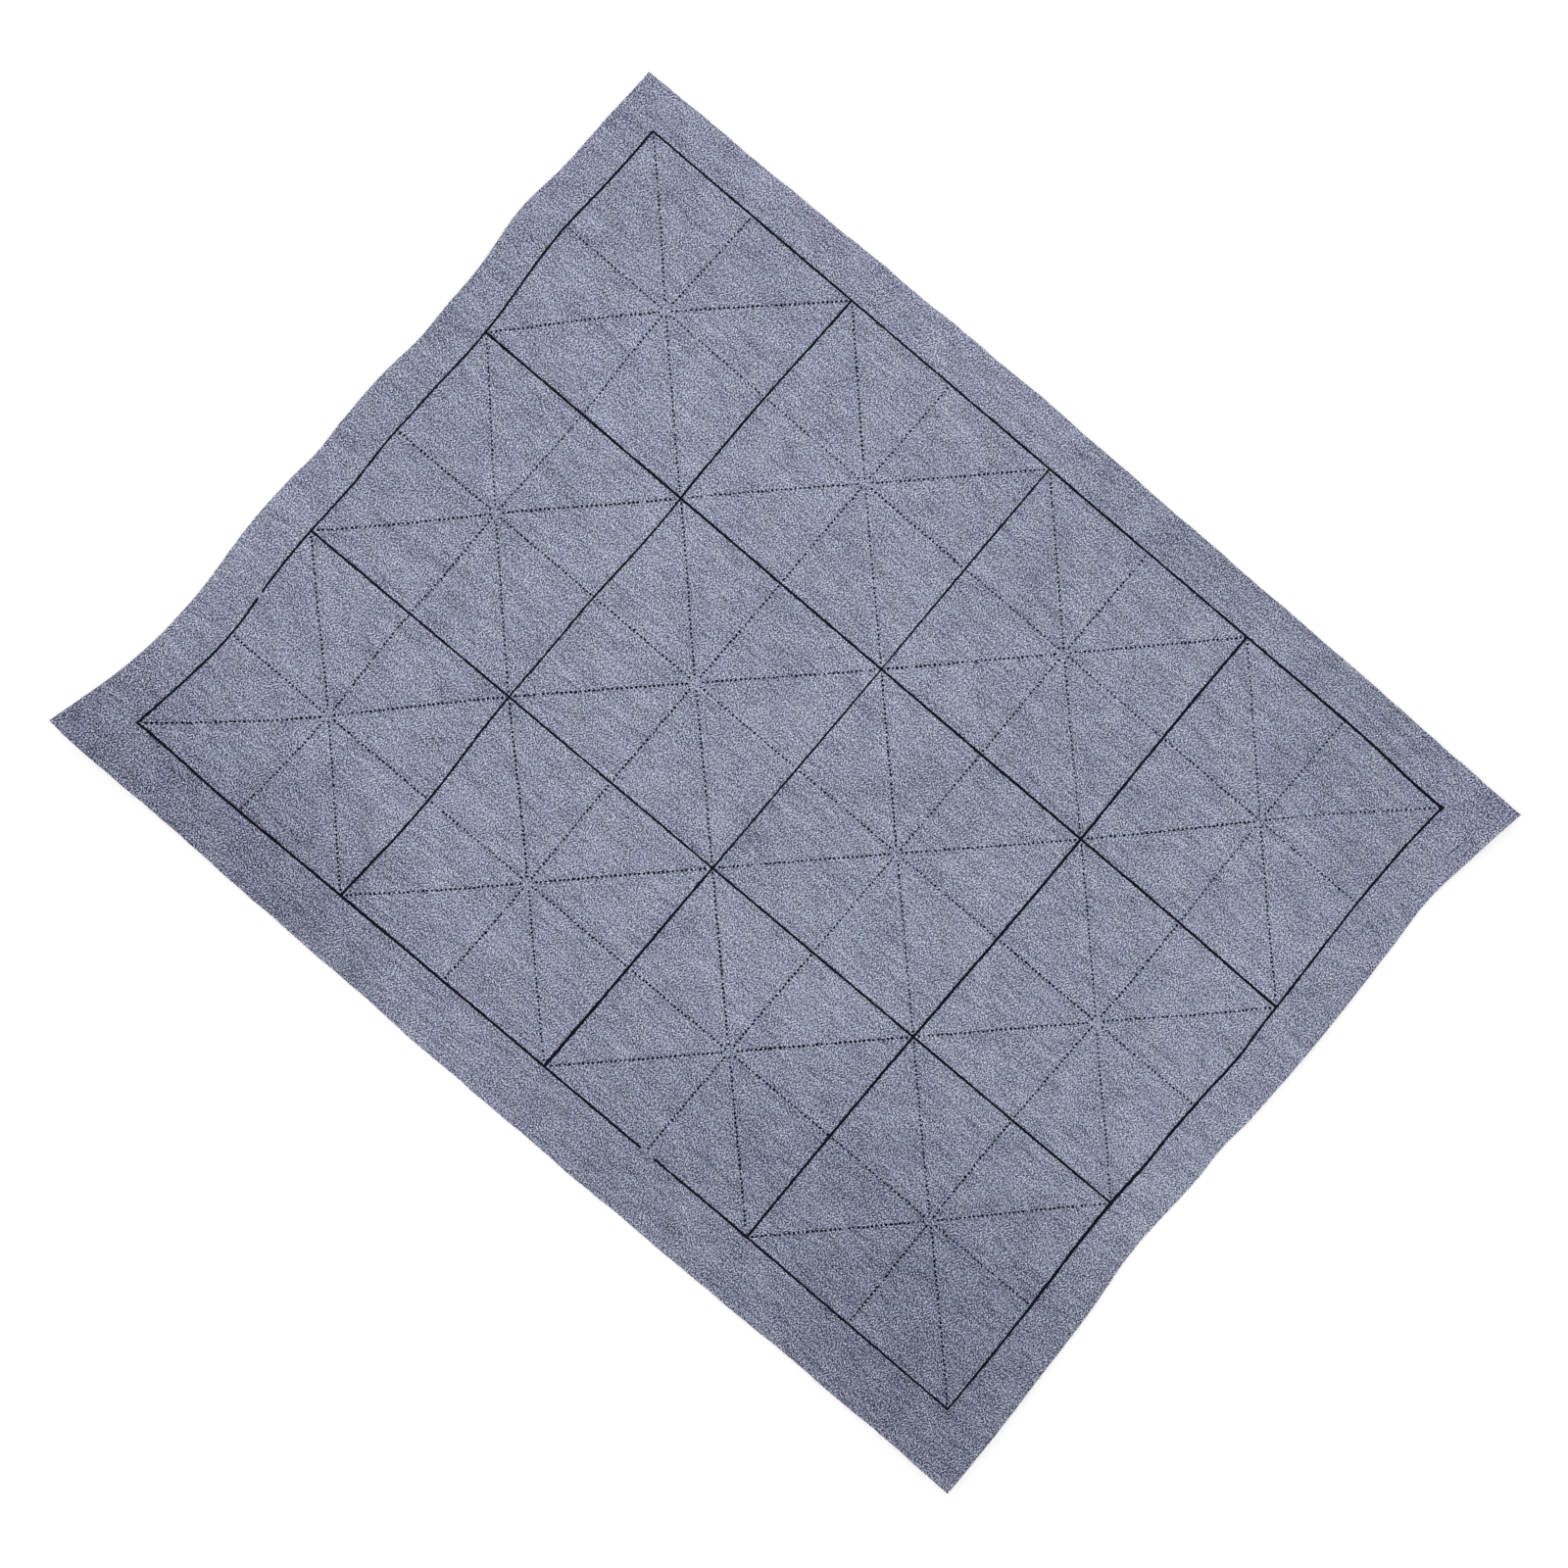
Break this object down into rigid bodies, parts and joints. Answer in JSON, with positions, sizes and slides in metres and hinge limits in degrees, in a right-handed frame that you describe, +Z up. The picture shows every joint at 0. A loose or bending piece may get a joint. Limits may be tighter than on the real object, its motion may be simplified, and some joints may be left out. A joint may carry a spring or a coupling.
{
  "type": "water writing cloth",
  "caption": "Soft coated cloth sheet printed with framed practice squares; water brush strokes turn it dark and fade as it dries. Lies loose on a table with rippled ends and curled corners.",
  "frame": {"origin": "middle of the sheet's footprint, at the height of the surface that it lies on", "axes": "+X along the long side, towards the end with the wider margin; +Y along the short side, towards the narrow top margin; +Z up, out of the printed face"},
  "size_m": [0.4018, 0.3098, 0.0161],
  "materials": {
    "base_cloth": "matt nonwoven, mixed grey and navy fibres",
    "colour_layer": "matt dark navy colour printed on the cloth",
    "writing_coat": "matt blue-grey porous coat with fine fibre grain",
    "grid_ink": "matt black printing ink"
  },
  "bodies": {
    "root": {"base_cloth": "base_cloth", "colour_layer": "colour_layer", "writing_coat": "writing_coat", "grid_lines": "grid_ink"}
  },
  "joints": []
}
